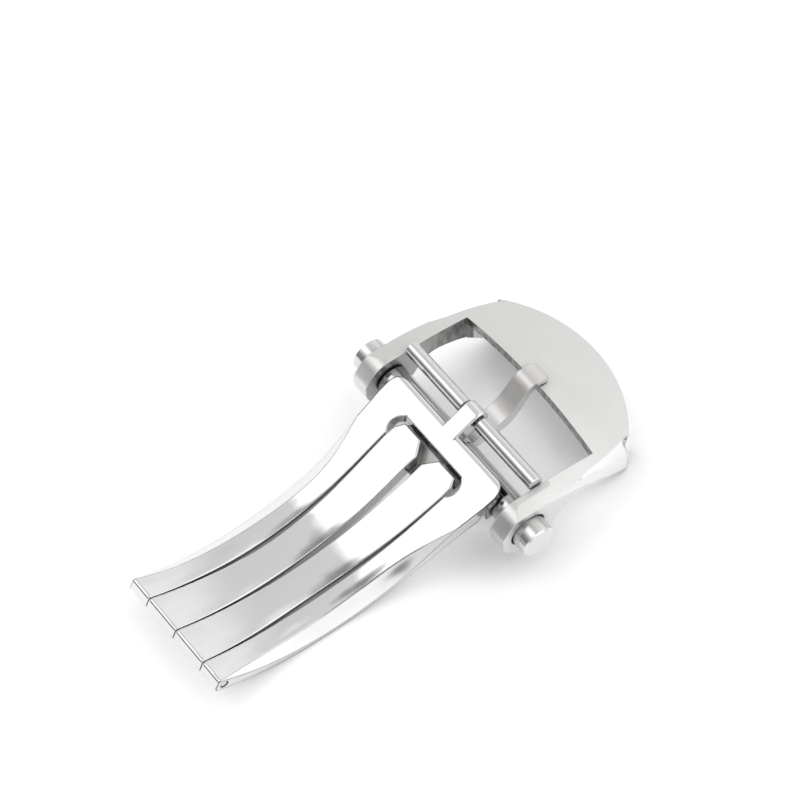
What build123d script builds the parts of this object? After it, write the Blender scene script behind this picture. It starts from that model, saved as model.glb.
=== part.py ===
from build123d import *
import math
import os

# ---------------------------------------------------------------------------
# Deployant clasp for an 18 mm watch strap, at rest with its two curved blades
# nested, wrist side up, and the buckle frame swung out beyond the lugs.
# Millimetres. +Z up, +X from the blade hinge to the far edge of the frame,
# +Y across the strap. Origin under the middle of the clasp, on the table.
# ---------------------------------------------------------------------------

S = 1.05                 # layout unit to millimetres: strap gap of 18.2 mm
X_MID = 21.982           # layout x of the middle of the clasp
T_BLADE = 1.35           # thickness of both blades
Z_LOW = 2.05             # layout height of the blades' lowest top point


def PX(x):
    return (x - X_MID) * S


def PZ(z):
    return (z + Z_LOW) * S + T_BLADE


def P(x, z):
    return (PX(x), PZ(z))


def Q(x, y):
    return (PX(x), y * S)


# curvature of the blades
R_TOP = 27.4 * S                       # concave wrist side
R_BOT = R_TOP + T_BLADE
CX, CZ = PX(10.4), T_BLADE + R_TOP     # centre of curvature
TH = math.asin((22.0 - 10.4) / 27.4)   # angle where the blades run straight
SL = math.tan(TH)
COS, SIN = math.cos(TH), math.sin(TH)


def on_top(x_layout, depth=0.0):
    """Point below the wrist-side face of the straight part, at a depth."""
    x = PX(x_layout)
    x0 = CX + R_TOP * SIN
    z0 = CZ - R_TOP * COS
    z = z0 + (x - x0) * SL
    return (x + depth * SIN, z - depth * COS)


# hinge at the far end of the blades
PIN_A = math.asin((0.72 / S - 10.4) / 27.4 * 1.0)
KX = CX + (R_TOP + T_BLADE / 2) * math.sin(PIN_A)
KZ = CZ - (R_TOP + T_BLADE / 2) * math.cos(PIN_A)
R_PIN = 0.35
R_PIN_HOLE = 0.38

# lug axis
AX, AZ = P(28.8, 0.9)
Y_IN = 9.08              # inner face of the arms
Y_OUT = 10.95            # outer face of the arms
R_LUG = 2.72
R_SHANK = 0.95
R_BORE = 0.98
R_HEAD = 1.70
R_CBORE = 1.79
CB_CHAMFER = 0.12        # bright chamfer round the mouth of a counterbore
Y_HEAD = 12.6            # outer face of a button
Y_CB = 9.60              # floor of the counterbore in a lug
TRAVEL = 0.85

# knuckle barrel of the middle blade
R_BARREL = 1.55
BARREL_Y0, BARREL_Y1 = 1.25, 8.95
RING_Y0 = 7.85           # counterbore of a barrel for the retaining ring
R_RING_CB = 1.30
T_HEAD = 0.95            # thickness of the T-head
WEB_TOP, WEB_BOT = 1.30, 2.25

# strap bar
BX, BZ = P(30.95, 3.7)
R_BAR = 0.75             # outside of the sleeves that the strap loops round
R_CORE = 0.42            # core pin through the stem and both sleeves
BAR_HALF = 9.0
SLEEVE_Y0 = 1.13
R_STEM = 1.06            # rounded end of the stem round the strap bar
STEM_W = 0.93            # half width of the stem

FORK_Y0, FORK_Y1 = 6.75, 7.50
SLOT_Y0, SLOT_Y1 = 6.60, 7.65    # slot of a barrel that lets the latch fork in

os.makedirs("parts", exist_ok=True)


# ---------------------------------------------------------------------------
# side profile of a blade, as points
# ---------------------------------------------------------------------------

def arc_point(radius, x_layout=None, angle=None):
    a = angle if angle is not None else math.asin((PX(x_layout) - CX) / radius)
    return (CX + radius * math.sin(a), CZ - radius * math.cos(a))


END_A = math.asin((0.0 - 10.4) / 27.4)
R_END = 0.32             # rounding of the hinge end


def blade_profile(x_end, depth_end, nose=0.0):
    """Curved plate from the hinge end to x_end, running straight at the last."""
    a_mid = (END_A + TH) / 2
    with BuildLine(mode=Mode.PRIVATE) as bl:
        t0 = arc_point(R_TOP, angle=END_A + R_END / R_TOP)
        t1 = arc_point(R_TOP, angle=a_mid)
        t2 = arc_point(R_TOP, angle=TH)
        te = arc_point(R_TOP + R_END, angle=END_A)
        tq = arc_point(R_TOP + R_END * 0.293, angle=END_A + R_END * 0.293 / R_TOP)
        b0 = arc_point(R_BOT, angle=END_A + R_END / R_BOT)
        be = arc_point(R_BOT - R_END, angle=END_A)
        bq = arc_point(R_BOT - R_END * 0.293, angle=END_A + R_END * 0.293 / R_BOT)
        b1 = arc_point(R_BOT, angle=a_mid)
        b2 = arc_point(R_BOT, angle=TH)
        ThreePointArc(t0, t1, t2)
        e_top = on_top(x_end)
        e_bot = on_top(x_end, depth_end)
        if nose > 0:
            n0 = (e_top[0] - nose * COS, e_top[1] - nose * SIN)
            n2 = (e_top[0] + nose * SIN, e_top[1] - nose * COS)
            c = (n0[0] + nose * SIN, n0[1] - nose * COS)
            q = nose / math.sqrt(2)
            n1 = (c[0] + q * (COS - SIN), c[1] + q * (SIN + COS))
            Line(t2, n0)
            ThreePointArc(n0, n1, n2)
            Line(n2, e_bot)
        else:
            Line(t2, e_top)
            Line(e_top, e_bot)
        if abs(depth_end - T_BLADE) < 1e-6:
            Line(e_bot, b2)
        else:
            s0 = on_top(26.0, depth_end)
            s1 = on_top(25.4, T_BLADE)
            Polyline(e_bot, s0, s1, b2)
        ThreePointArc(b2, b1, b0)
        ThreePointArc(b0, bq, be)
        Line(be, te)
        ThreePointArc(te, tq, t0)
    return bl.line


# plan curves, half width in layout units against layout x
OUTER = [(-0.5, 6.12), (0.0, 6.14), (5.0, 6.30), (10.0, 6.42), (16.0, 6.52),
         (21.0, 6.72), (24.0, 7.02), (26.5, 7.32)]
SLIT = [(-0.6, 3.84), (0.0, 3.80), (4.0, 3.62), (8.0, 3.44), (12.0, 3.38),
        (16.0, 3.50), (20.0, 3.72), (24.6, 3.98)]
SLIT_HALF = [0.06, 0.06, 0.10, 0.165, 0.205, 0.18, 0.12, 0.07]   # half gap at each point
RAIL_LINE = [(-1.0, 6.22), (0.3, 6.05), (3.2, 5.68), (7.0, 5.44), (10.8, 5.36), (14.5, 5.32),
             (18.0, 5.42), (20.6, 5.85), (22.8, 6.56), (24.8, 7.30), (26.8, 8.05)]
BEVEL_GRADE = 0.78       # fall of the rail bevels across the rail
MID = [(-0.6, 0.065), (0.0, 0.065), (5.0, 0.10), (9.0, 0.15), (13.0, 0.215), (17.0, 0.27),
       (21.0, 0.34), (24.3, 0.44)]

# ---------------------------------------------------------------------------
# wrist blade: two rails, T-head, stem and latch forks
# ---------------------------------------------------------------------------

with BuildPart() as wrist_blade:
    with BuildSketch(Plane.XZ) as side:
        with BuildLine():
            add(blade_profile(28.80, T_HEAD, nose=0.75))
        make_face()
    extrude(amount=9.0, both=True)

    # plan outline
    with BuildSketch(Plane.XY) as plan:
        with BuildLine():
            r_pts = [Q(x, y) for x, y in OUTER]
            l_pts = [Q(x, -y) for x, y in OUTER]
            Spline(*r_pts)
            c0 = Q(26.5, 7.32)
            c1 = Q(27.5, 7.36)
            Line(c0, c1)
            ThreePointArc(c1, Q(28.50, 6.95), Q(28.90, 6.1))
            Line(Q(28.90, 6.1), Q(29.6, 5.6))
            Line(Q(29.6, 5.6), Q(29.6, -5.6))
            Line(Q(29.6, -5.6), Q(28.90, -6.1))
            ThreePointArc(Q(28.90, -6.1), Q(28.50, -6.95), Q(27.5, -7.36))
            Line(Q(27.5, -7.36), Q(26.5, -7.32))
            Spline(*l_pts)
            Line(r_pts[0], l_pts[0])
        make_face()
    extrude(amount=14.0, mode=Mode.INTERSECT)

    # long opening for the fingers, with round reliefs at its two corners
    with BuildSketch(Plane.XY) as opening:
        with BuildLine():
            o_r = [Q(x, y + h) for (x, y), h in zip(SLIT, SLIT_HALF)]
            o_l = [Q(x, -y - h) for (x, y), h in zip(SLIT, SLIT_HALF)]
            Spline(*o_r)
            Polyline(o_r[-1], Q(26.8, 3.9), Q(26.8, -3.9), o_l[-1])
            Spline(*o_l)
            Line(o_r[0], o_l[0])
        make_face()
        with Locations(Q(25.72, 3.42), Q(25.72, -3.42)):
            Circle(1.08 * S)
    extrude(amount=14.0, mode=Mode.SUBTRACT)

# stem and its rounded end
with BuildPart() as stem_block:
    with BuildSketch(Plane.XZ) as stem_side:
        with BuildLine():
            a = on_top(27.6)
            b = on_top(27.6, T_HEAD)
            ang = math.radians(118)
            tu = (BX + R_STEM * math.cos(ang), BZ + R_STEM * math.sin(ang))
            ang2 = math.radians(-62)
            tl = (BX + R_STEM * math.cos(ang2), BZ + R_STEM * math.sin(ang2))
            ang3 = math.radians(-120)
            tl = (BX + R_STEM * math.cos(ang3), BZ + R_STEM * math.sin(ang3))
            Polyline(a, tu, (BX, BZ), tl, b, a)
        make_face()
        with Locations((BX, BZ)):
            Circle(R_STEM)
    extrude(amount=STEM_W, both=True)
    tip = stem_block.edges().filter_by(GeomType.CIRCLE)
    if len(tip) > 0:
        try:
            chamfer(tip, 0.12)
        except Exception:
            pass

with BuildPart() as wrist_full:
    add(wrist_blade.part)
    add(stem_block.part)

    # wide hollow-cut bevels along the outer edges of the rails
    for sign in (1, -1):
        with BuildPart(mode=Mode.PRIVATE) as bevel:
            # inner boundary of the wrist face; the bevel falls away outside it
            for xs, yi in RAIL_LINE:
                x = PX(xs)
                if x < CX + R_TOP * SIN:
                    zt = CZ - math.sqrt(R_TOP ** 2 - (x - CX) ** 2)
                else:
                    zt = on_top(xs)[1]
                yo = yi * S + 3.2
                drop = BEVEL_GRADE * (yo - yi * S)
                plane = Plane(origin=(x, 0, 0), x_dir=(0, 1, 0), z_dir=(1, 0, 0))
                with BuildSketch(plane):
                    with BuildLine():
                        Polyline((sign * yi * S, zt), (sign * yo, zt - drop),
                                 (sign * yo, zt + 1.2), (sign * yi * S, zt + 1.2),
                                 (sign * yi * S, zt))
                    make_face()
            loft(ruled=False)
        add(bevel.part, mode=Mode.SUBTRACT)

    # latch forks under the T-head, open downwards round the button shanks
    for sign in (1, -1):
        y0 = sign * FORK_Y0 if sign > 0 else -FORK_Y1
        with BuildSketch(Plane.XZ.offset(-y0)) as fork:
            with BuildLine():
                top_l = on_top(26.9, 0.55)
                top_r = on_top(28.1, 0.55)
                Polyline(top_l, top_r, (AX - 0.10, AZ + 1.15), (AX - 0.10, AZ),
                         (AX - 1.20, AZ), (AX - 1.20, AZ - 0.75),
                         (AX - 2.00, AZ - 0.75), (AX - 2.15, AZ + 0.6), top_l)
            make_face()
            with Locations((AX, AZ)):
                Circle(1.20, mode=Mode.SUBTRACT)
        extrude(amount=-(FORK_Y1 - FORK_Y0))

    # hole for the strap bar
    with BuildSketch(Plane.XZ):
        with Locations((BX, BZ)):
            Circle(R_CORE)
    extrude(amount=2.0, both=True, mode=Mode.SUBTRACT)

    # hinge pin hole through the rails
    with BuildSketch(Plane.XZ):
        with Locations((KX, KZ)):
            Circle(R_PIN_HOLE)
    extrude(amount=9.0, both=True, mode=Mode.SUBTRACT)

wrist_full.part.label = "wrist_blade"
export_step(wrist_full.part, "parts/wrist_blade.step")

# ---------------------------------------------------------------------------
# middle blade: two fingers, web and knuckle barrels
# ---------------------------------------------------------------------------

with BuildPart() as middle_blade:
    with BuildSketch(Plane.XZ):
        with BuildLine():
            add(blade_profile(26.42, T_BLADE))
        make_face()
    extrude(amount=9.0, both=True)

    with BuildSketch(Plane.XY) as fingers:
        for sign in (1, -1):
            with BuildLine():
                f_out = [Q(x, sign * (y - h)) for (x, y), h in zip(SLIT, SLIT_HALF)]
                f_in = [Q(x, sign * y) for x, y in MID]
                Spline(*f_out)
                Polyline(f_out[-1], Q(25.75, sign * 3.86), Q(26.42, sign * 3.42),
                         Q(26.42, sign * 1.28), Q(25.35, sign * 0.42), f_in[-1])
                Spline(*f_in)
                Line(f_out[0], f_in[0])
            make_face()
    extrude(amount=14.0, mode=Mode.INTERSECT)

    # bright bevels round the finger tips
    tips = middle_blade.edges().filter_by(
        lambda e: e.center().X > PX(25.45) and e.length > 0.3
        and abs((e.center().X - on_top(25.0)[0]) * SIN - (e.center().Z - on_top(25.0)[1]) * COS) < 0.02)
    chamfer(tips, 0.16)

    # web under the T-head, joining the fingers to the barrels
    with BuildSketch(Plane.XZ):
        with BuildLine():
            Polyline(on_top(23.9, WEB_TOP), on_top(27.6, WEB_TOP), (AX, AZ + 0.9),
                     (AX, AZ), on_top(27.4, WEB_BOT), on_top(24.6, WEB_BOT),
                     on_top(23.9, WEB_TOP))
        make_face()
    extrude(amount=3.62 * S, both=True)

    # barrels
    with BuildSketch(Plane.XZ):
        with Locations((AX, AZ)):
            Circle(R_BARREL)
    extrude(amount=BARREL_Y1, both=True)

    # room for the retaining rings, and slots for the latch forks
    for sign in (1, -1):
        with BuildSketch(Plane.XZ.offset(-sign * RING_Y0)):
            with Locations((AX, AZ)):
                Circle(R_RING_CB)
        extrude(amount=-sign * 3.0, mode=Mode.SUBTRACT)
        with BuildSketch(Plane.XZ.offset(-sign * SLOT_Y0)):
            with BuildLine():
                Polyline((AX + 0.25, AZ - 2.0), (AX + 0.25, AZ + 2.0), (AX - 3.0, AZ + 2.0),
                         (AX - 3.0, AZ - 2.0), (AX + 0.25, AZ - 2.0))
            make_face()
        extrude(amount=-sign * (SLOT_Y1 - SLOT_Y0), mode=Mode.SUBTRACT)

    # gap for the ring of the tang
    with BuildSketch(Plane.XY) as gap:
        with BuildLine():
            Polyline((PX(26.95), BARREL_Y0), (AX + 3.0, BARREL_Y0),
                     (AX + 3.0, -BARREL_Y0), (PX(26.95), -BARREL_Y0),
                     (PX(26.95), BARREL_Y0))
        make_face()
    extrude(amount=14.0, mode=Mode.SUBTRACT)

    with BuildSketch(Plane.XZ):
        with Locations((AX, AZ)):
            Circle(R_BORE)
    extrude(amount=9.0, both=True, mode=Mode.SUBTRACT)

    with BuildSketch(Plane.XZ):
        with Locations((KX, KZ)):
            Circle(R_PIN_HOLE)
    extrude(amount=9.0, both=True, mode=Mode.SUBTRACT)

middle_blade.part.label = "middle_blade"
export_step(middle_blade.part, "parts/middle_blade.step")

# ---------------------------------------------------------------------------
# hinge pin at the far end of the blades
# ---------------------------------------------------------------------------

with BuildPart() as blade_hinge_pin:
    with BuildSketch(Plane.XZ):
        with Locations((KX, KZ)):
            Circle(R_PIN)
    extrude(amount=6.40, both=True)
    chamfer(blade_hinge_pin.edges().filter_by(GeomType.CIRCLE), 0.06)
blade_hinge_pin.part.label = "blade_hinge_pin"
export_step(blade_hinge_pin.part, "parts/blade_hinge_pin.step")

# ---------------------------------------------------------------------------
# strap bar: a core pin held in the stem, with a sleeve pressed on each half
# ---------------------------------------------------------------------------

with BuildPart() as strap_bar_pin:
    with BuildSketch(Plane.XZ):
        with Locations((BX, BZ)):
            Circle(R_CORE)
    extrude(amount=BAR_HALF - 0.02, both=True)
    chamfer(strap_bar_pin.edges().filter_by(GeomType.CIRCLE), 0.03)
strap_bar_pin.part.label = "strap_bar_pin"
export_step(strap_bar_pin.part, "parts/strap_bar_pin.step")

for sign, side_name in ((1, "left"), (-1, "right")):
    with BuildPart() as sleeve:
        with BuildSketch(Plane.XZ.offset(-sign * SLEEVE_Y0)):
            with Locations((BX, BZ)):
                Circle(R_BAR)
                Circle(R_CORE, mode=Mode.SUBTRACT)
        extrude(amount=-sign * (BAR_HALF - SLEEVE_Y0))
        chamfer(sleeve.edges().filter_by(GeomType.CIRCLE).filter_by(lambda e: e.radius > 0.7), 0.06)
    sleeve.part.label = "strap_sleeve_" + side_name
    export_step(sleeve.part, "parts/strap_sleeve_" + side_name + ".step")

# ---------------------------------------------------------------------------
# buckle frame
# ---------------------------------------------------------------------------

R_FR = 54.0


def fr_top(x):
    return 3.5 - R_FR + math.sqrt(R_FR * R_FR - (x - 28.0) ** 2)


FRAME_PLAN = [(25.9, 10.42), (29.0, 10.42), (32.0, 10.36), (34.5, 10.10),
              (37.5, 9.66), (39.4, 9.25), (40.72, 8.86)]
CORNER = (41.47, 8.33)   # end of the flat between side and bowed edge
CROWN = 0.80             # rise of the middle of the far plate above its sides
CROWN_Y = 9.7
T_PLATE = 1.05           # thickness of the far plate at the window
CROWN_R = CROWN_Y ** 2 / (2 * CROWN)

# crowned envelope: the side curve turned about a long axis far below
with BuildPart() as crown_body:
    zc = PZ(fr_top(33.0)) + CROWN - CROWN_R
    with BuildSketch(Plane.XZ):
        with BuildLine():
            g1 = (PX(36.0), PZ(fr_top(36.0)) + CROWN)
            g2 = (PX(46.0), PZ(fr_top(46.0)) + CROWN)
            gm = (PX(26.5), PZ(fr_top(29.5)) + CROWN)
            ThreePointArc(gm, g1, g2)
            Polyline(g2, (g2[0], zc), (gm[0] - 2.0, zc), (gm[0] - 2.0, gm[1]), gm)
        make_face()
    revolve(axis=Axis((0, 0, zc), (1, 0, 0)))

# hollow under the far plate, with the same crown, where the strap tail runs out
with BuildPart() as hollow_body:
    with BuildSketch(Plane.XZ):
        with BuildLine():
            h0 = (PX(36.7), PZ(fr_top(36.7)) + CROWN - T_PLATE)
            h1 = (PX(40.0), PZ(fr_top(40.0)) + CROWN - T_PLATE - 0.15)
            h2 = (PX(42.5), PZ(fr_top(42.5)) + CROWN - T_PLATE - 0.45)
            ThreePointArc(h0, h1, h2)
            Polyline(h2, (PX(43.1), PZ(-0.95)), (PX(46.0), PZ(-1.0)), (PX(46.0), PZ(-5.0)),
                     (PX(36.7), PZ(-5.0)), h0)
        make_face()
    revolve(axis=Axis((0, 0, zc), (1, 0, 0)))
    with BuildSketch(Plane.XY):
        with BuildLine():
            Polyline((PX(36.7), Y_IN), (PX(41.6), 7.75), (PX(46.0), 7.3), (PX(46.0), -7.3),
                     (PX(41.6), -7.75), (PX(36.7), -Y_IN), (PX(36.7), Y_IN))
        make_face()
    extrude(amount=14.0, both=True, mode=Mode.INTERSECT)

# shallow polished facets along the upper half of both flanks, S-shaped at the far corners
FACET_SIDE = [(33.0, 3.20), (34.0, 2.98), (35.0, 2.70), (36.0, 2.16), (37.0, 1.55), (38.0, 1.03),
              (39.0, 0.38), (39.9, -0.28), (40.36, -0.48), (40.60, -0.22), (40.54, 0.45),
              (40.36, 1.15), (40.46, 1.70), (40.80, 2.12)]
# layout x, then half width at the crease on top, half width and height at the lower boundary
FACET = [(32.2, 10.34, 10.36, 3.10), (33.4, 10.08, 10.23, 3.02), (34.7, 9.86, 10.08, 2.80),
         (35.7, 9.69, 9.93, 2.33), (36.7, 9.56, 9.78, 1.72), (37.65, 9.42, 9.63, 1.22),
         (38.65, 9.20, 9.42, 0.62), (39.8, 8.90, 9.13, -0.25), (40.7, 8.63, 8.87, -0.45),
         (41.4, 8.40, 8.64, -0.45)]
facet_bodies = []
for sign in (1, -1):
    with BuildPart() as facet_body:
        for xs, yc, yl, zl in FACET:
            zt = fr_top(xs)
            dy, dz = yl - yc, min(zl - zt, -0.25)
            up = 0.5 / abs(dz)
            dn = 1.0 + 0.6 / abs(dz)
            a0 = ((yc - up * dy) * S, PZ(zt - up * dz))
            a1 = ((yc + dn * dy) * S, PZ(zt + dn * dz))
            with BuildSketch(Plane(origin=(PX(xs), 0, 0), x_dir=(0, 1, 0), z_dir=(1, 0, 0))):
                with BuildLine():
                    Polyline((sign * a0[0], a0[1]), (sign * a1[0], a1[1]), (sign * 13.5, a1[1]),
                             (sign * 13.5, a0[1]), (sign * a0[0], a0[1]))
                make_face()
        loft(ruled=False)
        with BuildSketch(Plane.XZ):
            with BuildLine():
                fs = [P(x, z) for x, z in FACET_SIDE]
                Spline(*fs)
                Polyline(fs[-1], P(40.80, 6.0), P(32.4, 6.0), P(32.4, 3.3), fs[0])
            make_face()
        extrude(amount=16.0, both=True, mode=Mode.INTERSECT)
    facet_bodies.append(facet_body.part)

with BuildPart() as buckle_frame:
    # side profile: lug disc, arm, and the deeper cheek at the far end
    with BuildSketch(Plane.XZ):
        with BuildLine():
            top0 = P(28.8, fr_top(28.8))
            top1 = P(30.5, fr_top(30.5))
            top2 = P(32.0, fr_top(32.0))
            ThreePointArc(top0, top1, top2)
            Polyline(top2, P(34.0, fr_top(34.0) + 1.2), P(44.7, fr_top(44.7) + 2.0),
                     P(44.7, -3.336), P(41.35, -3.336))
            Spline(P(41.35, -3.336), P(40.3, -2.55), P(39.1, -1.61), P(38.0, -0.88), P(36.95, -0.22),
                   P(35.3, 0.52), P(34.15, 0.86), P(33.2, 0.92), P(32.42, 0.58), P(31.62, -0.28),
                   tangents=((-0.80, 0.60), (-0.55, -0.85)))
            Spline(P(31.62, -0.28), P(30.70, -1.20), P(28.9, -1.70), P(27.25, -1.22),
                   P(26.30, -0.10), P(26.16, 1.20), P(26.98, 2.78),
                   tangents=((-0.55, -0.85), (0.62, 0.78)))
            Spline(P(26.98, 2.78), P(27.80, 3.34), top0,
                   tangents=((0.66, 0.75), (1.0, -0.015)))
        make_face()
    extrude(amount=12.0, both=True)

    # plan outline with the bowed far edge
    with BuildSketch(Plane.XY):
        with BuildLine():
            f_r = [Q(x, y) for x, y in FRAME_PLAN]
            f_l = [Q(x, -y) for x, y in FRAME_PLAN]
            Spline(*f_r)
            Line(f_r[-1], Q(CORNER[0], CORNER[1]))
            ThreePointArc(Q(CORNER[0], CORNER[1]), Q(44.36, 0.0), Q(CORNER[0], -CORNER[1]))
            Line(Q(CORNER[0], -CORNER[1]), f_l[-1])
            Spline(*f_l)
            Line(f_r[0], f_l[0])
        make_face()
    extrude(amount=14.0, mode=Mode.INTERSECT)
    add(crown_body.part, mode=Mode.INTERSECT)
    for cut in facet_bodies:
        add(cut, mode=Mode.SUBTRACT)

    # rounded upper edge of the bowed end
    top_edges = buckle_frame.edges().filter_by(
        lambda e: e.center().Z > PZ(0.6) and e.center().X > PX(40.9) and e.length > 4.0)
    chamfer(top_edges, 0.22)

    # strap window, open towards the lugs, its far edge slightly bowed
    with BuildSketch(Plane.XY):
        with BuildLine():
            Polyline((PX(37.0), -Y_IN), (PX(24.0), -Y_IN), (PX(24.0), Y_IN), (PX(37.0), Y_IN))
            ThreePointArc((PX(37.0), Y_IN), (PX(37.32), 0), (PX(37.0), -Y_IN))
        make_face()
    extrude(amount=14.0, mode=Mode.SUBTRACT)

    add(hollow_body.part, mode=Mode.SUBTRACT)

    # shank bore and counterbore of each lug
    with BuildSketch(Plane.XZ):
        with Locations((AX, AZ)):
            Circle(R_BORE)
    extrude(amount=12.0, both=True, mode=Mode.SUBTRACT)
    for sign in (1, -1):
        with BuildSketch(Plane.XZ.offset(-sign * Y_CB)):
            with Locations((AX, AZ)):
                Circle(R_CBORE)
        extrude(amount=-sign * 3.0, mode=Mode.SUBTRACT)
        y_mouth = FRAME_PLAN[0][1] * S
        with BuildSketch(Plane(origin=(AX, 0, AZ), x_dir=(0, sign, 0), z_dir=(1, 0, 0) if sign > 0 else (-1, 0, 0))):
            with BuildLine():
                Polyline((y_mouth - CB_CHAMFER, R_CBORE - 0.05), (y_mouth - CB_CHAMFER, R_CBORE),
                         (y_mouth + 0.4, R_CBORE + CB_CHAMFER + 0.4), (y_mouth + 0.4, R_CBORE - 0.05),
                         (y_mouth - CB_CHAMFER, R_CBORE - 0.05))
            make_face()
        revolve(axis=Axis((AX, 0, AZ), (0, 1, 0)), mode=Mode.SUBTRACT)

buckle_frame.part.label = "buckle_frame"
export_step(buckle_frame.part, "parts/buckle_frame.step")

# ---------------------------------------------------------------------------
# tang, with the ring that turns on the middle pin
# ---------------------------------------------------------------------------

TANG_HALF = 1.03
TANG_UP = [(30.0, 1.24), (31.4, 1.24), (32.7, 1.36), (33.6, 1.62), (34.4, 2.12), (35.2, 2.90),
           (35.9, 3.70), (36.55, 4.14), (37.2, 4.24), (37.9, 4.08), (38.40, 3.84)]
TANG_DN = [(30.0, 0.20), (31.4, 0.20), (32.8, 0.28), (33.8, 0.46), (34.7, 0.98), (35.44, 1.88),
           (36.1, 2.80), (36.65, 3.38), (37.1, 3.575), (37.7, 3.49), (38.40, 3.345)]

with BuildPart() as tang:
    with BuildSketch(Plane.XZ):
        with BuildLine():
            t_up = [P(x, z) for x, z in TANG_UP]
            t_dn = [P(x, z) for x, z in TANG_DN]
            Spline(*t_up)
            Line(t_up[-1], t_dn[-1])
            Spline(*t_dn)
            Polyline(t_dn[0], P(28.8, 0.1), P(28.8, 1.3), t_up[0])
        make_face()
        with Locations((AX, AZ)):
            Circle(1.46)
    extrude(amount=TANG_HALF, both=True)

    # rounded tip
    with BuildSketch(Plane.XY):
        with BuildLine():
            xt = PX(38.40)
            rc = 0.34
            q = rc * (1 - math.sqrt(0.5))
            Polyline((xt - rc, TANG_HALF), (PX(26.0), TANG_HALF), (PX(26.0), -TANG_HALF),
                     (xt - rc, -TANG_HALF))
            ThreePointArc((xt - rc, -TANG_HALF), (xt - q, -TANG_HALF + q), (xt, -TANG_HALF + rc))
            Line((xt, -TANG_HALF + rc), (xt, TANG_HALF - rc))
            ThreePointArc((xt, TANG_HALF - rc), (xt - q, TANG_HALF - q), (xt - rc, TANG_HALF))
        make_face()
    extrude(amount=14.0, mode=Mode.INTERSECT)

    with BuildSketch(Plane.XZ):
        with Locations((AX, AZ)):
            Circle(R_BORE)
    extrude(amount=3.0, both=True, mode=Mode.SUBTRACT)
tang.part.label = "tang"
export_step(tang.part, "parts/tang.step")

# ---------------------------------------------------------------------------
# middle pin that carries the tang
# ---------------------------------------------------------------------------

with BuildPart() as tang_pin:
    with BuildSketch(Plane.XZ):
        with Locations((AX, AZ)):
            Circle(R_SHANK)
    extrude(amount=3.0, both=True)
    chamfer(tang_pin.edges().filter_by(GeomType.CIRCLE), 0.08)
tang_pin.part.label = "tang_pin"
export_step(tang_pin.part, "parts/tang_pin.step")

# ---------------------------------------------------------------------------
# push buttons, retaining rings and springs
# ---------------------------------------------------------------------------

SHANK_END = 4.60

for sign, side_name in ((1, "left"), (-1, "right")):
    pl = Plane(origin=(AX, 0, AZ), x_dir=(0, sign, 0), z_dir=(1, 0, 0) if sign > 0 else (-1, 0, 0))
    with BuildPart() as button:
        with BuildSketch(pl):
            with BuildLine():
                Polyline((SHANK_END, 0), (SHANK_END, R_SHANK - 0.08),
                         (SHANK_END + 0.08, R_SHANK), (7.66, R_SHANK),
                         (7.66, 0.62), (8.58, 0.62), (8.58, R_SHANK),
                         (8.80, R_SHANK), (8.80, 0.76), (9.06, 0.76),
                         (9.06, R_SHANK), (10.55, R_SHANK), (10.55, R_HEAD - 0.10),
                         (10.65, R_HEAD), (Y_HEAD - 0.16, R_HEAD),
                         (Y_HEAD, R_HEAD - 0.16), (Y_HEAD, 0), (SHANK_END, 0))
            make_face()
        revolve(axis=Axis((AX, 0, AZ), (0, 1, 0)))
    button.part.label = "button_" + side_name
    export_step(button.part, "parts/button_" + side_name + ".step")

    with BuildPart() as ring:
        with BuildSketch(Plane.XZ.offset(-sign * 8.83)):
            with Locations((AX, AZ)):
                Circle(1.20)
                Circle(0.79, mode=Mode.SUBTRACT)
            with Locations((AX, AZ - 1.1)):
                Rectangle(1.0, 1.6, mode=Mode.SUBTRACT)
        extrude(amount=-sign * 0.20)
    ring.part.label = "retaining_ring_" + side_name
    export_step(ring.part, "parts/retaining_ring_" + side_name + ".step")

    wire = 0.085
    coil_r = R_BORE - wire - 0.05
    height = SHANK_END - 3.0 - 2 * wire - 0.04
    with BuildPart() as spring:
        with BuildLine() as path:
            Helix(pitch=height / 3.5, height=height, radius=coil_r,
                  center=(AX, sign * (3.0 + wire + 0.02), AZ), direction=(0, sign, 0))
        with BuildSketch(path.line ^ 0):
            Circle(wire)
        sweep(is_frenet=True)
    spring.part.label = "button_spring_" + side_name
    export_step(spring.part, "parts/button_spring_" + side_name + ".step")

print("lug axis", round(AX, 3), round(AZ, 3), "blade pin", round(KX, 3), round(KZ, 3),
      "strap bar", round(BX, 3), round(BZ, 3))
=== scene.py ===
import math

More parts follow.
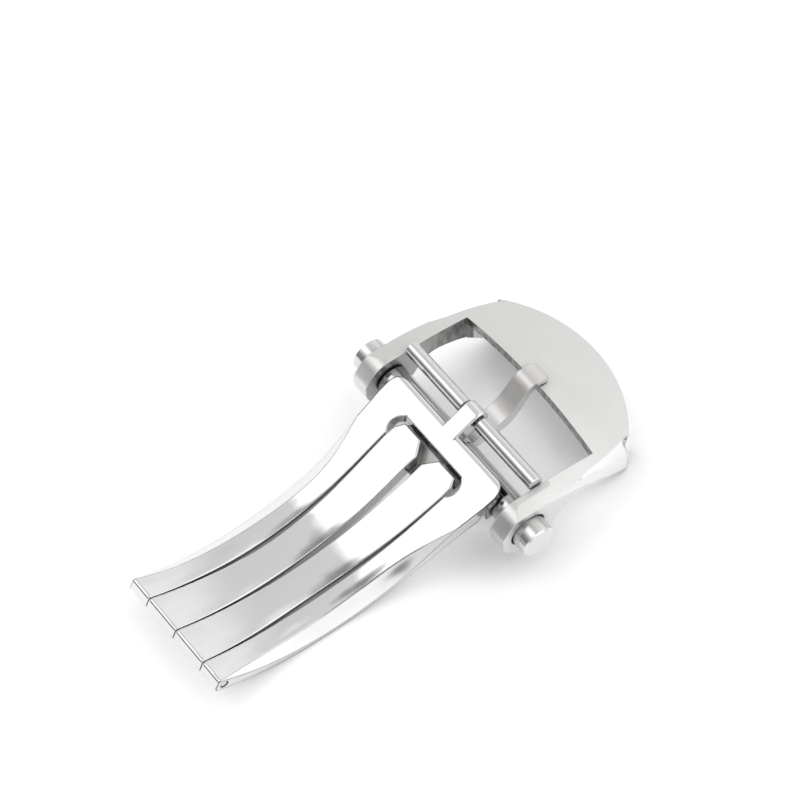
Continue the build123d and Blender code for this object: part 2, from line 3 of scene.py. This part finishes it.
import bpy
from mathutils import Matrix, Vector

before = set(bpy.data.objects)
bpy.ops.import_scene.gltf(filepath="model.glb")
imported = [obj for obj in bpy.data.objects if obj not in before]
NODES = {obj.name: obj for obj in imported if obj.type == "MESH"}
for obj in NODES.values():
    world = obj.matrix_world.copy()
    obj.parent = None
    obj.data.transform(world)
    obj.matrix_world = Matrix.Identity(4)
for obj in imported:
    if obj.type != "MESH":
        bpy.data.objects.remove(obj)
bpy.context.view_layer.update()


# ---------------------------------------------------------------- node helpers
class Graph:
    """A node tree with short calls. Coordinates in every surface material are millimetres of the part's own frame."""

    def __init__(self, tree):
        self.tree = tree
        tree.nodes.clear()

    def add(self, kind, **inputs):
        node = self.tree.nodes.new(kind)
        for key, value in inputs.items():
            self.put(node, key, value)
        return node

    def put(self, node, key, value):
        socket = node.inputs[int(key[1:])] if key[0] == "i" and key[1:].isdigit() else node.inputs[key.replace("_", " ")]
        if isinstance(value, bpy.types.NodeSocket):
            self.tree.links.new(value, socket)
        else:
            socket.default_value = value

    def math(self, op, a, b=None, c=None, clamp=False):
        node = self.tree.nodes.new("ShaderNodeMath")
        node.operation = op
        node.use_clamp = clamp
        for i, v in enumerate((a, b, c)):
            if v is not None:
                self.put(node, f"i{i}", v)
        return node.outputs[0]

    def vmath(self, op, a, b=None, scale=None):
        node = self.tree.nodes.new("ShaderNodeVectorMath")
        node.operation = op
        self.put(node, "i0", a)
        if b is not None:
            self.put(node, "i1", b)
        if scale is not None:
            self.put(node, "Scale", scale)
        return node.outputs["Value"] if op in ("DOT_PRODUCT", "LENGTH") else node.outputs["Vector"]

    def ramp(self, value, lo, hi, to_lo=0.0, to_hi=1.0, smooth=True):
        node = self.tree.nodes.new("ShaderNodeMapRange")
        node.interpolation_type = "SMOOTHSTEP" if smooth else "LINEAR"
        node.clamp = True
        for i, v in enumerate((value, lo, hi, to_lo, to_hi)):
            self.put(node, f"i{i}", v)
        return node.outputs[0]

    def noise(self, vector, scale, detail=3.0, rough=0.55, distortion=0.0):
        node = self.add("ShaderNodeTexNoise", Vector=vector, Scale=scale, Detail=detail, Roughness=rough, Distortion=distortion)
        return node.outputs["Fac"]

    def stretched(self, coord, sx, sy, sz, turn=(0.0, 0.0, 0.0)):
        node = self.add("ShaderNodeMapping", Vector=coord, Scale=(sx, sy, sz), Rotation=turn)
        return node.outputs["Vector"]

    def mix(self, fac, a, b):
        node = self.tree.nodes.new("ShaderNodeMix")
        node.data_type = "FLOAT"
        self.put(node, "i0", fac)
        self.put(node, "i2", a)
        self.put(node, "i3", b)
        return node.outputs[0]

    def colour_mix(self, fac, a, b):
        node = self.tree.nodes.new("ShaderNodeMix")
        node.data_type = "RGBA"
        self.put(node, "i0", fac)
        self.put(node, "i6", a)
        self.put(node, "i7", b)
        return node.outputs[2]


def new_material(name):
    mat = bpy.data.materials.new(name)
    mat.use_nodes = True
    return mat, Graph(mat.node_tree)


def surface_coords(g):
    tc = g.add("ShaderNodeTexCoord")
    mm = g.vmath("SCALE", tc.outputs["Object"], scale=1000.0)
    parts = g.add("ShaderNodeSeparateXYZ", Vector=tc.outputs["Normal"])
    return mm, parts.outputs, tc.outputs["Normal"]


def metal_with_painted_gap_shade(g, normal, reach=0.0016, depth=0.60, **sockets):
    """Metal surface with painted shade: the base colour is darkened in narrow gaps and hollows between parts, where
    ambient occlusion finds nearby surfaces.
    """
    ao = g.add("ShaderNodeAmbientOcclusion", Distance=reach)
    ao.samples = 6
    tint = sockets.pop("Base_Color")
    # painted shade: base colour multiplied down by ambient occlusion, by up to depth where the gap is tightest
    shade = g.ramp(ao.outputs["AO"], 0.25, 0.95, 1.0 - depth, 1.0, smooth=False)
    node = g.tree.nodes.new("ShaderNodeMix")
    node.data_type = "RGBA"
    node.blend_type = "MULTIPLY"
    g.put(node, "i0", 1.0)
    g.put(node, "i6", tint)
    grey = g.add("ShaderNodeCombineColor", Red=shade, Green=shade, Blue=shade)
    g.put(node, "i7", grey.outputs[0])
    sockets["Base_Color"] = node.outputs[2]
    bsdf = g.add("ShaderNodeBsdfPrincipled", **sockets)
    bsdf.inputs["Metallic"].default_value = 1.0
    g.put(bsdf, "Normal", normal)
    out = g.add("ShaderNodeOutputMaterial")
    g.tree.links.new(bsdf.outputs[0], out.inputs["Surface"])
    return bsdf


def scratches(g, coord, width, length, angle, seed, sharp=(0.66, 0.74)):
    """Hairlines: noise drawn out along one direction and cut to its crests."""
    v = g.stretched(coord, 1.0 / length, 1.0 / width, 1.0 / width, (0.0, 0.0, angle))
    v = g.vmath("ADD", v, (seed, seed * 1.7, seed * 0.6))
    return g.ramp(g.noise(v, 1.0, 2.0, 0.5), sharp[0], sharp[1])


# ---------------------------------------------------------------- materials
def polished_steel(name, tint=(0.80, 0.80, 0.795, 1.0), base_rough=0.045):
    """Mirror polish with handling haze, a slight ripple left by the polishing wheel and a few hairlines."""
    mat, g = new_material(name)
    mm, _, _ = surface_coords(g)
    haze = g.noise(mm, 0.22, 4.0, 0.6)
    specks = g.noise(mm, 9.0, 2.0, 0.5)
    hair = g.math("MAXIMUM", scratches(g, mm, 0.035, 2.2, 0.35, 3.1), scratches(g, mm, 0.03, 1.6, -0.9, 8.4, (0.69, 0.76)))
    rough = g.math("ADD", g.ramp(haze, 0.35, 0.75, base_rough, base_rough + 0.035), g.math("MULTIPLY", hair, 0.05))
    rough = g.math("ADD", rough, g.ramp(specks, 0.66, 0.8, 0.0, 0.03))
    edge = g.add("ShaderNodeBevel", Radius=0.00024)
    edge.samples = 8
    ripple = g.noise(g.stretched(mm, 0.22, 0.34, 0.22), 1.0, 1.5, 0.4)
    bump0 = g.add("ShaderNodeBump", Strength=1.0, Distance=0.00009, Height=ripple, Normal=edge.outputs[0])
    # the polishing wheel rolls the edges along the slits and along the top of the bevels
    at = g.add("ShaderNodeSeparateXYZ", Vector=mm)
    along = g.math("ADD", at.outputs[0], 11.0)
    along = g.math("MULTIPLY", along, along)
    across = g.math("ABSOLUTE", at.outputs[1])

    def rolled(line, width):
        t = g.math("DIVIDE", g.math("SUBTRACT", across, line), width)
        return g.math("EXPONENT", g.math("MULTIPLY", g.math("MULTIPLY", t, t), -1.0))

    slit = g.math("MULTIPLY_ADD", along, 0.00324, 3.549)
    edge_of_bevel = g.math("MULTIPLY_ADD", along, 0.0060, 5.45)
    rolls = g.math("ADD", rolled(0.0, 0.75), rolled(slit, 0.75))
    rolls = g.math("ADD", rolls, rolled(edge_of_bevel, 0.70))
    rolls = g.math("MULTIPLY", rolls, g.ramp(at.outputs[0], 2.2, 4.4, 1.0, 0.0))
    bump1 = g.add("ShaderNodeBump", Strength=1.0, Distance=0.000045, Height=g.math("SUBTRACT", 0.0, rolls), Normal=bump0.outputs[0])
    bump2 = g.add("ShaderNodeBump", Strength=0.12, Distance=0.000004, Height=g.math("SUBTRACT", 0.0, hair), Normal=bump1.outputs[0])
    # the web, barrels and forks lie deeper than the blades' thickness and keep the cutter's satin finish
    depth = g.math("MULTIPLY", g.math("SUBTRACT", at.outputs[0], 0.02), 0.4234)
    depth = g.math("SUBTRACT", depth, g.math("MULTIPLY", g.math("SUBTRACT", at.outputs[2], 4.057), 0.9059))
    web = g.math("MULTIPLY", g.ramp(depth, 1.12, 1.24), g.ramp(at.outputs[0], 2.6, 3.4))
    milled = g.noise(g.stretched(mm, 1.0 / 0.06, 1.0 / 0.9, 1.0 / 0.06), 1.0, 3.0, 0.6)
    dull = g.colour_mix(milled, (0.56, 0.55, 0.54, 1.0), (0.68, 0.675, 0.665, 1.0))
    colour = g.colour_mix(web, tint, dull)
    rough = g.mix(web, rough, g.ramp(milled, 0.3, 0.7, 0.26, 0.38))
    # painted reflection: the broken outer edges of the rails and the T-head are darkened to a dark line where the
    # bevel normal turns from the face, standing in for the dark surroundings a rounded edge reflects
    geometry = g.add("ShaderNodeNewGeometry")
    turned = g.vmath("DOT_PRODUCT", edge.outputs[0], geometry.outputs["Normal"])
    line = g.math("MULTIPLY", g.ramp(turned, 0.90, 0.998, 0.90, 0.0), g.ramp(across, 4.9, 5.3))
    colour = g.colour_mix(line, colour, (0.08, 0.08, 0.08, 1.0))
    metal_with_painted_gap_shade(g, bump2.outputs[0], Base_Color=colour, Roughness=rough)
    return mat


def satin_steel(name, tint=(0.74, 0.735, 0.725, 1.0), polished=(0.90, 0.90, 0.895, 1.0), polished_below=None, cut_walls_and_painted_shade=False):
    """Fine satin brushing. The steeper flanks are polished where polished_below is given, down to a satin
    band that runs along their lower edge from the lugs. Where the window-wall option is set, the walls of the window
    keep a rougher cut finish, and their colour carries painted shade, darkest in the far corners."""
    mat, g = new_material(name)
    mm, n, _ = surface_coords(g)
    lines = g.noise(g.stretched(mm, *[1.0 / v for v in (1.3, 0.05, 0.05)]), 1.0, 4.0, 0.65)
    fine = g.noise(g.stretched(mm, 1.0 / 0.7, 1.0 / 0.025, 1.0 / 0.025), 1.0, 3.0, 0.6)
    cloud = g.noise(mm, 0.3, 3.0, 0.55)
    both = g.math("MULTIPLY_ADD", fine, 0.5, lines)
    satin_rough = g.math("ADD", g.ramp(cloud, 0.3, 0.7, 0.27, 0.36), g.ramp(lines, 0.35, 0.7, 0.0, 0.08))
    bright = tuple(min(1.0, c * 1.08) for c in tint[:3]) + (1.0,)
    colour = g.colour_mix(g.ramp(g.math("MULTIPLY_ADD", cloud, 0.5, lines), 0.55, 0.95), tint, bright)
    rough, strength = satin_rough, 0.26
    if polished_below is not None:
        satin = g.ramp(n["Z"], polished_below[0], polished_below[1])
        spot = g.add("ShaderNodeSeparateXYZ", Vector=mm)
        along = g.math("SUBTRACT", spot.outputs[0], 12.05)
        line = g.math("MULTIPLY_ADD", along, -0.46, 5.79)
        line = g.math("MULTIPLY_ADD", g.math("MULTIPLY", along, along), -0.027, line)
        below = g.ramp(g.math("SUBTRACT", line, spot.outputs[2]), -0.05, 0.10)
        flank = g.ramp(g.math("ABSOLUTE", spot.outputs[1]), 9.12, 9.20)
        side = g.ramp(g.math("ABSOLUTE", n["Y"]), 0.75, 0.90)
        satin = g.math("MAXIMUM", satin, g.math("MULTIPLY", below, g.math("MULTIPLY", flank, side)))
        front = g.math("MULTIPLY", g.ramp(n["X"], -0.55, -0.30, 1.0, 0.0), g.ramp(spot.outputs[0], 5.6, 6.4, 1.0, 0.0))
        satin = g.math("MAXIMUM", satin, front)
        strength = g.math("MULTIPLY", satin, 0.26)
        rough = g.mix(satin, 0.15, satin_rough)
        colour = g.colour_mix(satin, polished, colour)
    if cut_walls_and_painted_shade:
        at = g.add("ShaderNodeSeparateXYZ", Vector=mm)
        inside = g.math("LESS_THAN", g.math("ABSOLUTE", at.outputs[1]), 9.14)
        upright = g.math("LESS_THAN", g.math("ABSOLUTE", n["Z"]), 0.35)
        before = g.math("LESS_THAN", at.outputs[0], 16.4)
        wall = g.math("MULTIPLY", g.math("MULTIPLY", inside, upright), before)
        marks = g.noise(g.stretched(mm, 1.0 / 0.5, 1.0 / 0.5, 1.0 / 1.6), 1.0, 3.0, 0.6)
        # painted shade: the walls' colour is darkest in the far corners of the window
        depth = g.ramp(at.outputs[0], 8.5, 15.0, 0.0, 1.0)
        # painted shade: dark base colour on the upright walls inside the window, mottled by the machining marks
        dark = g.colour_mix(g.ramp(marks, 0.35, 0.65), (0.15, 0.145, 0.14, 1.0), (0.36, 0.35, 0.34, 1.0))
        dark = g.colour_mix(depth, (0.52, 0.51, 0.50, 1.0), dark)
        colour = g.colour_mix(wall, colour, dark)
        rough = g.mix(wall, rough, 0.30)
    edge = g.add("ShaderNodeBevel", Radius=0.00010)
    edge.samples = 6
    bump = g.add("ShaderNodeBump", Strength=strength, Distance=0.00001, Height=both, Normal=edge.outputs[0])
    metal_with_painted_gap_shade(g, bump.outputs[0], 0.0012, 0.35, Base_Color=colour, Roughness=rough)
    return mat


def drawn_steel(name, tint=(0.76, 0.755, 0.75, 1.0), base_rough=0.13):
    """Drawn and burnished pin stock: fine lines run round the pin from the last turning pass."""
    mat, g = new_material(name)
    mm, _, _ = surface_coords(g)
    rings = g.noise(g.stretched(mm, 0.4, 1.0 / 0.04, 0.4), 1.0, 3.0, 0.6)
    haze = g.noise(mm, 0.8, 3.0, 0.6)
    rough = g.math("ADD", g.ramp(haze, 0.3, 0.7, base_rough, base_rough + 0.07), g.ramp(rings, 0.45, 0.7, 0.0, 0.05))
    edge = g.add("ShaderNodeBevel", Radius=0.00004)
    edge.samples = 4
    bump = g.add("ShaderNodeBump", Strength=0.12, Distance=0.000006, Height=rings, Normal=edge.outputs[0])
    metal_with_painted_gap_shade(g, bump.outputs[0], Base_Color=tint, Roughness=rough)
    return mat


def button_steel(name, tint=(0.77, 0.765, 0.76, 1.0)):
    """Turned button: satin end face, brighter flank."""
    mat, g = new_material(name)
    mm, n, _ = surface_coords(g)
    face = g.ramp(g.math("ABSOLUTE", n["Y"]), 0.9, 0.97)
    grain = g.noise(g.stretched(mm, 1.0 / 0.5, 1.0, 1.0 / 0.03), 1.0, 3.0, 0.6)
    rings = g.noise(g.stretched(mm, 0.4, 1.0 / 0.04, 0.4), 1.0, 3.0, 0.6)
    haze = g.noise(mm, 0.9, 3.0, 0.6)
    rough = g.math("ADD", g.mix(face, 0.19, 0.30), g.ramp(haze, 0.3, 0.7, 0.0, 0.07))
    edge = g.add("ShaderNodeBevel", Radius=0.00005)
    edge.samples = 4
    bump = g.add("ShaderNodeBump", Strength=0.15, Distance=0.000008, Height=g.mix(face, rings, grain), Normal=edge.outputs[0])
    metal_with_painted_gap_shade(g, bump.outputs[0], Base_Color=tint, Roughness=rough)
    return mat


def spring_steel(name, tint=(0.62, 0.62, 0.62, 1.0)):
    """Bright drawn wire with faint die lines."""
    mat, g = new_material(name)
    mm, _, _ = surface_coords(g)
    die = g.noise(mm, 7.0, 4.0, 0.6)
    rough = g.ramp(die, 0.3, 0.7, 0.18, 0.34)
    bump = g.add("ShaderNodeBump", Strength=0.15, Distance=0.000005, Height=die)
    metal_with_painted_gap_shade(g, bump.outputs[0], Base_Color=tint, Roughness=rough)
    return mat


MIRROR = polished_steel("mirror_polished_steel")
SATIN = satin_steel("satin_brushed_steel", polished_below=(0.60, 0.86), cut_walls_and_painted_shade=True)
TANG = satin_steel("tang_brushed_steel", tint=(0.70, 0.69, 0.68, 1.0))
PIN = drawn_steel("drawn_pin_steel")
BUTTON = button_steel("turned_button_steel")
SPRING = spring_steel("drawn_spring_steel")

FINISH = {
    "wrist_blade": MIRROR,
    "middle_blade": MIRROR,
    "buckle_frame": SATIN,
    "tang": TANG,
    "strap_bar_pin": PIN,
    "strap_sleeve_left": PIN,
    "strap_sleeve_right": PIN,
    "tang_pin": PIN,
    "blade_hinge_pin": PIN,
    "button_left": BUTTON,
    "button_right": BUTTON,
    "retaining_ring_left": SPRING,
    "retaining_ring_right": SPRING,
    "button_spring_left": SPRING,
    "button_spring_right": SPRING,
}
for node_name, finish in FINISH.items():
    data = NODES[node_name].data
    for i in range(max(1, len(data.materials))):
        if i < len(data.materials):
            data.materials[i] = finish
        else:
            data.materials.append(finish)


# ---------------------------------------------------------------- floor
def make_floor():
    mat, g = new_material("pale_floor")
    tc = g.add("ShaderNodeTexCoord")
    tone = g.noise(tc.outputs["Object"], 6.0, 3.0, 0.5)
    colour = g.colour_mix(tone, (0.83, 0.83, 0.835, 1.0), (0.85, 0.85, 0.855, 1.0))
    # painted shadow: ambient occlusion darkens the floor's colour and glow near the clasp, on the camera's side of it
    # and under the frame
    ao = g.add("ShaderNodeAmbientOcclusion", Distance=0.007)
    ao.samples = 12
    open_sky = g.ramp(ao.outputs["AO"], 0.10, 0.85, 0.0, 1.0, smooth=False)
    spot = g.add("ShaderNodeSeparateXYZ", Vector=tc.outputs["Object"])
    right = g.ramp(spot.outputs[1], -0.0105, -0.0040, 1.0, 0.0)
    under_frame_painted_shadow = g.math("MULTIPLY", g.ramp(spot.outputs[0], 0.004, 0.009), g.ramp(g.math("ABSOLUTE", spot.outputs[1]), 0.009, 0.012, 1.0, 0.0))
    where = g.math("MAXIMUM", right, under_frame_painted_shadow)
    shade = g.mix(where, 1.0, g.math("MULTIPLY_ADD", open_sky, 0.86, 0.14))
    # the floor glows so it stays white; the glow carries the painted shadow, and painted light makes the floor beyond
    # +10 mm in Y glow a little more
    painted_light_and_shade_glow = g.math("MULTIPLY", shade, 0.39)
    painted_light_and_shade_glow = g.math("ADD", painted_light_and_shade_glow, g.math("MULTIPLY", g.ramp(spot.outputs[1], 0.004, 0.010), 0.04))
    grey = g.add("ShaderNodeCombineColor", Red=shade, Green=shade, Blue=shade)
    node = g.tree.nodes.new("ShaderNodeMix")
    node.data_type = "RGBA"
    node.blend_type = "MULTIPLY"
    g.put(node, "i0", 1.0)
    g.put(node, "i6", colour)
    g.put(node, "i7", grey.outputs[0])
    bsdf = g.add("ShaderNodeBsdfPrincipled", Base_Color=node.outputs[2], Roughness=0.6, Emission_Strength=painted_light_and_shade_glow)
    bsdf.inputs["Specular IOR Level"].default_value = 0.15
    bsdf.inputs["Emission Color"].default_value = (1.0, 1.0, 1.0, 1.0)
    out = g.add("ShaderNodeOutputMaterial")
    g.tree.links.new(bsdf.outputs[0], out.inputs["Surface"])
    r = 1.6
    mesh = bpy.data.meshes.new("studio_floor")
    mesh.from_pydata([(-r, -r, 0), (r, -r, 0), (r, r, 0), (-r, r, 0)], [], [(0, 1, 2, 3)])
    mesh.materials.append(mat)
    obj = bpy.data.objects.new("studio_floor", mesh)
    bpy.context.scene.collection.objects.link(obj)


make_floor()


# ---------------------------------------------------------------- light
def make_world():
    """A white light tent: pale walls, a grey roof towards +X, a large soft panel up and to the left of the camera's line."""
    world = bpy.data.worlds.new("light_tent")
    bpy.context.scene.world = world
    world.use_nodes = True
    g = Graph(world.node_tree)
    tc = g.add("ShaderNodeTexCoord")
    d = g.vmath("NORMALIZE", tc.outputs["Generated"])
    parts = g.add("ShaderNodeSeparateXYZ", Vector=d)

    def toward(v):
        v = Vector(v).normalized()
        return g.vmath("DOT_PRODUCT", d, tuple(v))

    # walls: bright near the floor, greyer towards the roof
    level = g.ramp(parts.outputs["Z"], 0.50, 0.78, 1.02, 0.78)
    level = g.math("MULTIPLY", level, g.ramp(toward((0.86, 0.43, 0.28)), 0.90, 1.0, 1.0, 0.88))
    # the wall towards +Y and +X is a little deeper in tone
    level = g.math("MULTIPLY", level, g.ramp(toward((0.35, 0.94, 0.0)), -0.2, 0.9, 1.06, 0.92))
    level = g.math("MULTIPLY", level, g.ramp(toward((-1.0, 0.1, 0.0)), 0.0, 0.75, 1.0, 0.74))
    # dark card standing low beyond the hinge end
    level = g.math("MULTIPLY", level, g.ramp(toward((-0.88, 0.40, 0.24)), 0.915, 0.97, 1.0, 0.32))
    # dark gap between the tent's walls and the table
    level = g.math("MULTIPLY", level, g.ramp(parts.outputs["Z"], 0.07, 0.20, 0.22, 1.0))
    # round soft panel overhead, a little behind
    key = toward((-0.33, 0.43, 0.84))
    level = g.math("MULTIPLY_ADD", g.ramp(key, 0.948, 0.978), 0.90, level)
    # strip light on the camera's right
    side = toward((0.40, -0.75, 0.52))
    level = g.math("MULTIPLY_ADD", g.ramp(side, 0.74, 0.92), 0.26, level)
    # paler part of the roof over the right arm, deeper wall beyond the left one
    level = g.math("MULTIPLY_ADD", g.ramp(toward((0.45, 0.0, 0.89)), 0.925, 0.985), 0.55, level)
    level = g.math("MULTIPLY", level, g.ramp(toward((0.45, 0.80, 0.40)), 0.86, 0.97, 1.0, 0.84))
    back = toward((0.75, 0.60, 0.20))
    level = g.math("MULTIPLY_ADD", g.ramp(back, 0.75, 0.95), 0.15, level)
    # the opening that the camera looks through, and the dark lamp housing in the roof
    lens = toward((-0.3272, -0.4317, 0.8406))
    level = g.math("MULTIPLY", level, g.ramp(lens, 0.930, 0.965, 1.0, 0.22))
    housing = toward((-0.02, 0.12, 0.99))
    level = g.math("MULTIPLY", level, g.ramp(housing, 0.955, 0.985, 1.0, 0.30))
    bg = g.add("ShaderNodeBackground", Color=(1.0, 1.0, 1.0, 1.0), Strength=level)
    out = g.add("ShaderNodeOutputWorld")
    g.tree.links.new(bg.outputs[0], out.inputs["Surface"])


make_world()


# ---------------------------------------------------------------- camera
def make_camera():
    data = bpy.data.cameras.new("camera")
    cam = bpy.data.objects.new("camera", data)
    bpy.context.scene.collection.objects.link(cam)
    place = Vector((-0.117695, -0.1570, 0.3232))
    target = Vector((0.002545, 0.00163, 0.01431))
    cam.location = place
    cam.rotation_mode = "QUATERNION"
    cam.rotation_quaternion = (target - place).to_track_quat("-Z", "Y")
    data.sensor_width = 36.0
    data.sensor_fit = "HORIZONTAL"
    data.lens = 190.6
    data.clip_start, data.clip_end = 0.01, 20.0
    bpy.context.scene.camera = cam


make_camera()
bpy.context.scene.view_settings.view_transform = "Standard"
